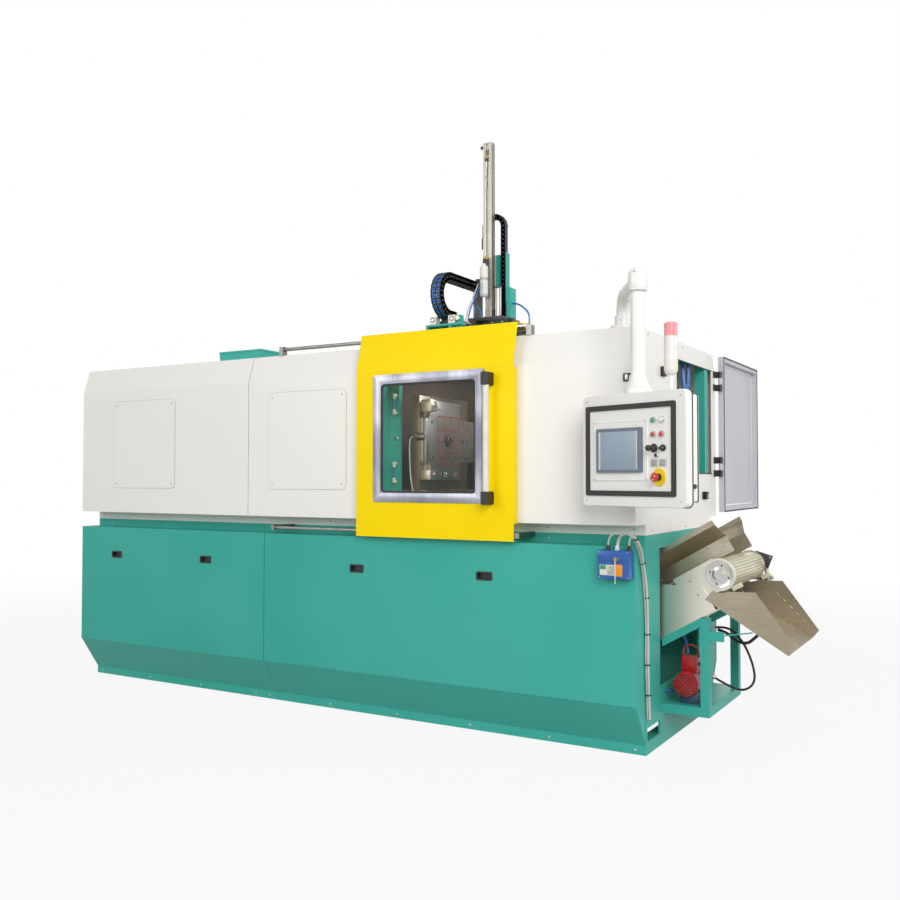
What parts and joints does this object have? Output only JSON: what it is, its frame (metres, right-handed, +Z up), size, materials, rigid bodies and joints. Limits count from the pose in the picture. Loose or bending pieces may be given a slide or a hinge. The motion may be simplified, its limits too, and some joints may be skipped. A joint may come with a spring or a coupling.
{
  "type": "wax pattern moulding machine",
  "caption": "Enclosed wax pattern moulding machine on a long bed, with sliding window door, roof picker, swivel operator panel, end door and inclined discharge conveyor",
  "frame": {"origin": "the middle of the bed's underside, on the floor", "axes": "+X along the bed towards the conveyor end, +Y from the operator's side to the back, +Z up"},
  "size_m": [4.686, 2.7392, 3.372],
  "materials": {
    "teal_paint": "semi-gloss enamel",
    "white_paint": "gloss powder coat",
    "yellow_paint": "gloss powder coat",
    "inner_grey": "satin powder coat",
    "stainless": "brushed sheet",
    "guard_steel": "worn brushed sheet",
    "machined_steel": "machined",
    "mould_alloy": "milled plate",
    "mast_alloy": "anodised extrusion",
    "frame_alloy": "satin anodised",
    "rail_chrome": "ground bar",
    "black_plastic": "moulded",
    "black_metal": "black oxide",
    "white_plastic": "moulded",
    "window_pane": "clear polycarbonate",
    "slate_panel": "moulded bezel",
    "control_plastic": "moulded push buttons",
    "stop_red": "moulded mushroom head",
    "beacon_lens": "moulded lens",
    "belt_rubber": "smooth cream belting",
    "blue_paint": "gloss enamel",
    "pump_red": "gloss enamel",
    "cable_grey": "cable sheath",
    "hose_black": "hose cover",
    "chain_plastic": "moulded chain links"
  },
  "bodies": {
    "machine": {"access_panels": "white_paint", "bed_frame": "teal_paint", "belt": "belt_rubber", "belt_guards": "guard_steel", "cable_bundle": "cable_grey", "chute": "stainless", "control_box": "blue_paint", "conveyor_frame": "teal_paint", "covers_back": "white_paint", "covers_front": "white_paint", "door_rails": "rail_chrome", "drive": "black_metal", "end_door_fittings": "black_metal", "end_panels": "white_paint", "fitting_bar": "teal_paint", "flush_pulls": "black_plastic", "lining": "stainless", "loop_hose": "hose_black", "low_chain": "chain_plastic", "lower_band": "white_paint", "lower_guards": "teal_paint", "mould": "mould_alloy", "pendant_base": "white_paint", "picker_stand": "teal_paint", "platen": "teal_paint", "pump": "pump_red", "rail_blocks": "white_paint", "roof_box": "teal_paint", "slide_rails": "rail_chrome", "tail_roller": "machined_steel", "tank": "stainless", "upper_frame": "teal_paint"},
    "door": {"door_panel": "yellow_paint", "window_frame": "frame_alloy", "window_glass": "window_pane", "door_handle_bar": "white_plastic", "door_handle_ends": "black_plastic", "door_runners": "black_metal"},
    "leaf": {"end_leaf": "inner_grey"},
    "arm": {"pendant_pipe": "white_paint"},
    "panel": {"pendant_housing": "white_paint", "pendant_bezel": "white_paint", "pendant_trim": "black_plastic", "pendant_screen": "slate_panel", "pendant_buttons": "control_plastic", "pendant_levers": "black_plastic", "stop_button": "stop_red", "beacon": "beacon_lens"},
    "carriage": {"carriage": "black_metal", "mast_guide": "teal_paint", "lift_cylinder": "white_plastic", "high_chain": "chain_plastic"},
    "mast": {"mast": "mast_alloy"},
    "drum": {"head_drum": "machined_steel"}
  },
  "joints": [
    {"name": "door_slide", "type": "slide", "parent": "machine", "child": "door", "axis": [-1, 0, 0], "range_m": [0, 0.6]},
    {"name": "leaf_hinge", "type": "hinge", "parent": "machine", "child": "leaf", "pos_m": [2.042, 0.73, 1.64], "axis": [0, 0, 1], "range_deg": [-180, 0]},
    {"name": "arm_swivel", "type": "hinge", "parent": "machine", "child": "arm", "pos_m": [1.91, -0.595, 2.186], "axis": [0, 0, 1], "range_deg": [-25, 60]},
    {"name": "panel_swivel", "type": "hinge", "parent": "arm", "child": "panel", "pos_m": [2.11, -0.94, 1.774], "axis": [0, 0, 1], "range_deg": [-4, 70]},
    {"name": "carriage_slide", "type": "slide", "parent": "machine", "child": "carriage", "axis": [0, 1, 0], "range_m": [-0.17, 0.15], "deforming": ["low_chain"]},
    {"name": "mast_slide", "type": "slide", "parent": "carriage", "child": "mast", "axis": [0, 0, 1], "range_m": [-0.42, 0], "deforming": ["high_chain"]},
    {"name": "drum_spin", "type": "hinge", "parent": "machine", "child": "drum", "pos_m": [2.31, 0, 0.886], "axis": [0, 1, 0], "continuous": true}
  ]
}
